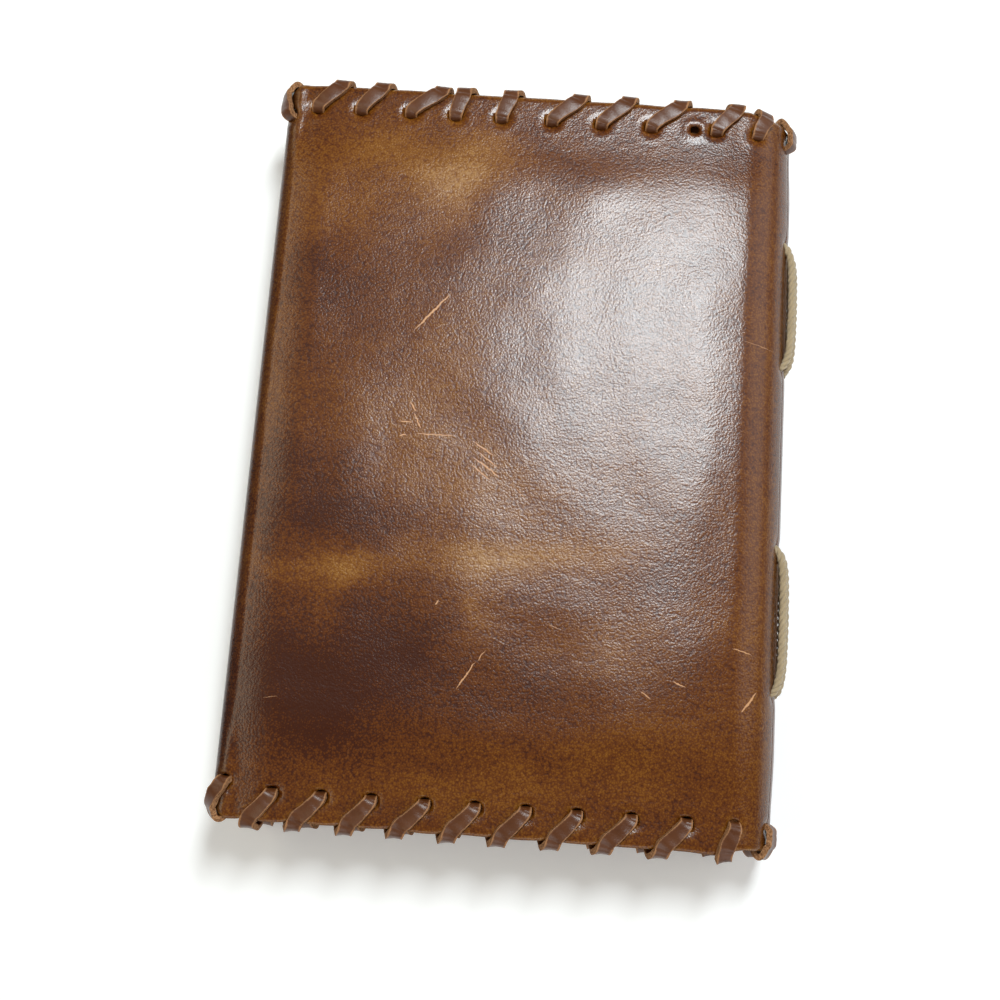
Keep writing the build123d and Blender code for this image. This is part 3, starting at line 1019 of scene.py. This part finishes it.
def cord_route(number):
    """Points of one section's cord, as it is laid in the spine."""
    height = panel + (number - 0.5) * pitch
    surface_x = spine_surface_x(height)
    box_low = Vector(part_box(f"sewing_cord_{number}")[0]) / MM
    inside_x = box_low.x + cord_diameter / 2
    exit_x = surface_x + 1.3
    bow_x = surface_x + 1.75
    first, second, third, fourth = station_y
    return [
        (inside_x, first + 10.0, height),
        (inside_x, first, height),
        (exit_x, first, height),
        (bow_x, (first + second) / 2, height),
        (exit_x, second, height),
        (inside_x, second, height),
        (inside_x, third, height),
        (exit_x, third, height),
        (bow_x, (third + fourth) / 2, height),
        (exit_x, fourth, height),
        (inside_x, fourth, height),
        (inside_x, fourth - 10.0, height),
    ]


def sampled_route(points, name):
    """Evenly read points of a smooth curve through a list of control points."""
    curve = bpy.data.curves.new(name, "CURVE")
    curve.dimensions = "3D"
    spline = curve.splines.new("NURBS")
    spline.points.add(len(points) - 1)
    for control, point in zip(spline.points, points):
        control.co = (*point, 1.0)
    spline.order_u = 3
    spline.use_endpoint_u = True
    spline.resolution_u = 24
    carrier = bpy.data.objects.new(name, curve)
    data = bpy.data.meshes.new_from_object(carrier)
    route = [vertex.co.copy() for vertex in data.vertices]
    bpy.data.objects.remove(carrier)
    bpy.data.meshes.remove(data)
    even = [route[0]]
    for point in route[1:]:
        while (point - even[-1]).length > 0.3:
            even.append(even[-1] + (point - even[-1]).normalized() * 0.3)
    return even


def tube(mesh, route, radius, sides=7):
    """A round strand along a route, added to a mesh."""
    count = len(route)
    strand = bmesh.new()
    bmesh.ops.create_grid(strand, x_segments=count - 1, y_segments=sides, size=0.5)
    for vertex in strand.verts:
        number = round((vertex.co.x + 0.5) * (count - 1))
        turn = (vertex.co.y + 0.5) * math.tau
        run = (route[min(count - 1, number + 1)] - route[max(0, number - 1)]).normalized()
        first = run.cross(Vector((0.3, 0.1, 1))).normalized()
        second = run.cross(first)
        fuzz = 1 + 0.12 * noise.noise(route[number] * 2.2 + Vector((turn, 0, 0)))
        vertex.co = route[number] + (first * math.cos(turn) + second * math.sin(turn)) * radius * fuzz
    bmesh.ops.remove_doubles(strand, verts=strand.verts, dist=radius * 0.05)
    bmesh.ops.holes_fill(strand, edges=strand.edges, sides=sides + 2)
    bmesh.ops.recalc_face_normals(strand, faces=strand.faces)
    data = bpy.data.meshes.new("strand")
    strand.to_mesh(data)
    strand.free()
    mesh.from_mesh(data)
    bpy.data.meshes.remove(data)


for number in (1, 2, 3, 4):
    route = sampled_route(cord_route(number), f"route_{number}")
    mesh = bmesh.new()
    plies = 3
    lay = 5.4
    ply_radius = cord_diameter * 0.34
    for ply in range(plies):
        strand = []
        travelled = 0.0
        for index, point in enumerate(route):
            run = (route[min(len(route) - 1, index + 1)] - route[max(0, index - 1)]).normalized()
            travelled += 0.3
            first = run.cross(Vector((0.3, 0.1, 1))).normalized()
            second = run.cross(first)
            turn = travelled / lay * math.tau + ply * math.tau / plies
            slack = 1 + 0.12 * noise.noise(point * 0.4 + Vector((ply, number, 0)))
            offset = (first * math.cos(turn) + second * math.sin(turn)) * cord_diameter * 0.30 * slack
            strand.append(point + offset)
        tube(mesh, strand, ply_radius)
    piece = make_piece(f"cord_{number}", mesh, [cotton])
    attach(piece, f"text_{number}")
    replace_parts(piece, f"sewing_cord_{number}")


# ======================================================================
# The pages
# ======================================================================

def signature(number):
    """The nested folded sheets of one section, slightly wavy and torn at the fore-edge."""
    height = panel + (number - 0.5) * pitch
    low, high = [Vector(corner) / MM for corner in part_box(f"sheet_{number}_1")]
    half_thick = (high.z - low.z) / 2
    fold_x = high.x - half_thick
    sheets = 5
    leaf = 0.21
    mesh = bmesh.new()
    for layer in range(sheets):
        outer = half_thick - layer * leaf - leaf / 2
        spread = half_thick * (1 - (layer + 0.5) / sheets)
        centre = fold_x - layer * 0.05
        reach = centre - low.x
        turn = math.pi * outer
        cuts = joined_cuts(
            even_cuts(-reach, 0, 5), even_cuts(0, turn, turn / 8), even_cuts(turn, turn + reach, 5)
        )
        sheet = grid_piece(cuts, even_cuts(low.y, high.y, 5))
        for vertex in sheet.verts:
            place, y = vertex.co.xy
            away = max(-place, place - turn, 0)
            half = outer + (spread - outer) * smooth(away / 30)
            wave = 0.07 * noise.noise(Vector((away / 22, y / 26, number + layer * 0.8)))
            deckle = 0.5 * noise.noise(Vector((y / 4, layer * 3, number))) * smooth(away - reach + 6)
            deckle -= 0.9 * noise.noise(Vector((layer * 1.7, number, 2))) * smooth(away - reach + 6)
            deckle = min(0.9, max(0.0, 0.5 + deckle)) * smooth((away - reach + 6) / 6)
            inner_wave = wave * (1 - layer / sheets) * smooth(away / 20) * min(1.0, spread)
            if place < 0:
                vertex.co = Vector((centre + place + deckle, y, height + half - abs(inner_wave)))
            elif place > turn:
                x = centre - (place - turn) + deckle
                vertex.co = Vector((x, y, height - half + abs(inner_wave)))
            else:
                angle = math.pi / 2 - place / outer
                vertex.co = Vector((
                    centre + outer * math.cos(angle), y, height + outer * math.sin(angle)
                ))
        data = bpy.data.meshes.new("sheet")
        sheet.to_mesh(data)
        sheet.free()
        mesh.from_mesh(data)
        bpy.data.meshes.remove(data)
    bmesh.ops.recalc_face_normals(mesh, faces=mesh.faces)
    piece = make_piece(f"section_{number}", mesh, [paper, paper_edge])
    thicken(piece, leaf, 0, 1)
    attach(piece, f"text_{number}")
    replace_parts(piece, *[f"sheet_{number}_{layer + 1}" for layer in range(sheets)])


for number in (1, 2, 3, 4):
    signature(number)

for name in ("back_board", "front_board"):
    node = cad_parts[name]
    for material_slot in node.material_slots:
        material_slot.material = card


# ======================================================================
# Floor, light and camera
# ======================================================================

scene = bpy.context.scene
floor_half = 3000
window_distance = 700
studio_strength = 0.14


def floor():
    """A wide pale floor under the journal."""
    mesh = bmesh.new()
    bmesh.ops.create_grid(mesh, x_segments=1, y_segments=1, size=floor_half)
    piece = make_piece("floor", mesh, [floor_material()])


def area_light(name, place, target, size, power, tint=(1, 1, 1)):
    """A soft rectangular light aimed at a point, in millimetres."""
    lamp = bpy.data.lights.new(name, "AREA")
    lamp.shape = "RECTANGLE"
    lamp.size = size[0] * MM
    lamp.size_y = size[1] * MM
    lamp.energy = power
    lamp.color = tint
    holder = bpy.data.objects.new(name, lamp)
    scene.collection.objects.link(holder)
    holder.location = Vector(place) * MM
    aim = Vector(target) - Vector(place)
    holder.rotation_mode = "QUATERNION"
    holder.rotation_quaternion = aim.to_track_quat("-Z", "Y")
    return holder


floor()

eye = Vector((3.47, -72.84, 321.06))
camera_data = bpy.data.cameras.new("camera")
camera_data.lens = 46.8
camera_data.sensor_width = 36
camera_data.clip_start = 0.01
camera = bpy.data.objects.new("camera", camera_data)
camera.location = eye * MM
camera.rotation_euler = [math.radians(angle) for angle in (11.477, 0.572, 4.048)]
scene.collection.objects.link(camera)
scene.camera = camera

# The window's reflection lies on the face up and right of its middle.
sheen_middle = Vector((36, 36, thickness))
to_eye = (eye - sheen_middle).normalized()
mirrored = Vector((-to_eye.x, -to_eye.y, to_eye.z))
window_place = sheen_middle + mirrored * window_distance
area_light("window", window_place, sheen_middle, (128, 265), 4.0, (0.90, 0.97, 1.0))
area_light("room_left", (-560, 40, 770), (-60, 40, 25), (1100, 240), 2.3, (1.0, 0.93, 0.72))
area_light("room_front", (300, -1300, 800), (0, 0, 0), (1500, 700), 6.5)
area_light("room_right", (1200, 500, 900), (0, 0, 0), (1000, 1000), 4.5)

world = bpy.data.worlds.new("studio")
world.use_nodes = True
world.node_tree.nodes["Background"].inputs["Color"].default_value = (1.0, 1.0, 1.0, 1.0)
world.node_tree.nodes["Background"].inputs["Strength"].default_value = studio_strength
scene.world = world
scene.view_settings.view_transform = "Standard"
